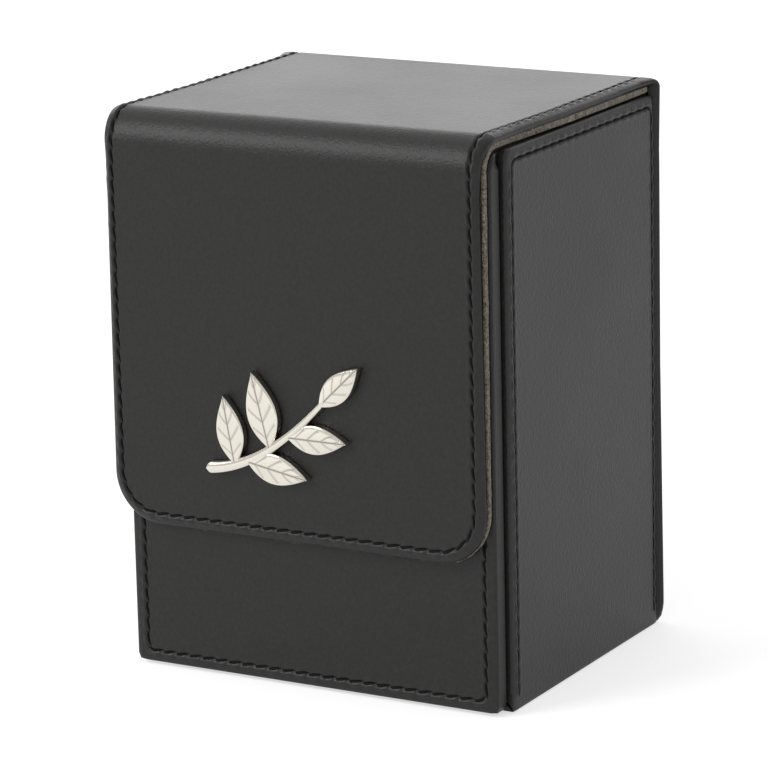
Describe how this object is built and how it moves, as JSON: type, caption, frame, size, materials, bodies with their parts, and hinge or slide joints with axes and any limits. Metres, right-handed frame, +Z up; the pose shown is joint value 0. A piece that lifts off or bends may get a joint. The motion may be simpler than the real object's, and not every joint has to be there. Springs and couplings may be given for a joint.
{
  "type": "card deck box",
  "caption": "Upright flip box for a deck of sleeved cards: stitched black leatherette over board, suede lining, hinged lid with a magnetic front flap and a metal leaf emblem.",
  "frame": {"origin": "centre of the base's underside, halfway between the front and back panels' outer faces", "axes": "+Z up, -Y out of the front panel and flap, +X to the right as seen from the front"},
  "size_m": [0.0798, 0.0699, 0.1057],
  "materials": {
    "leatherette": "satin black, fine grain",
    "suede": "napped grey-brown microsuede",
    "greyboard": "raw dense greyboard",
    "thread": "black twisted polyester thread",
    "magnet": "nickel-plated magnet",
    "nickel": "polished warm nickel"
  },
  "bodies": {
    "box": {"inner_box": "greyboard", "wall_lining": "suede", "floor_lining": "suede", "front_panel_cover": "leatherette", "front_panel_board": "greyboard", "front_panel_stitching": "thread", "front_magnet_left": "magnet", "front_magnet_right": "magnet", "side_wrap_cover": "leatherette", "left_side_board": "greyboard", "right_side_board": "greyboard", "base_board": "greyboard", "left_side_stitching": "thread", "right_side_stitching": "thread", "back_panel_cover": "leatherette", "back_panel_board": "greyboard", "back_panel_stitching": "thread", "rear_fold_cover": "leatherette", "rear_fold_lining": "suede", "rear_fold_stitching_left": "thread", "rear_fold_stitching_right": "thread"},
    "lid": {"lid_cover": "leatherette", "lid_board": "greyboard", "lid_lining": "suede", "lid_stitching_left": "thread", "lid_stitching_right": "thread", "front_fold_cover": "leatherette", "front_fold_lining": "suede", "front_fold_stitching_left": "thread", "front_fold_stitching_right": "thread"},
    "flap": {"flap_cover": "leatherette", "flap_board": "greyboard", "flap_lining": "suede", "flap_stitching": "thread", "flap_magnet_left": "magnet", "flap_magnet_right": "magnet", "emblem": "nickel"}
  },
  "joints": [
    {"name": "lid_hinge", "type": "hinge", "parent": "box", "child": "lid", "pos_m": [0, 0.03147, 0.10457], "axis": [-1, 0, 0], "range_deg": [0, 180], "deforming": ["rear_fold_cover", "rear_fold_lining", "rear_fold_stitching_left", "rear_fold_stitching_right"]},
    {"name": "flap_hinge", "type": "hinge", "parent": "lid", "child": "flap", "pos_m": [0, -0.03387, 0.10397], "axis": [-1, 0, 0], "range_deg": [0, 90], "deforming": ["front_fold_cover", "front_fold_lining", "front_fold_stitching_left", "front_fold_stitching_right"]}
  ]
}
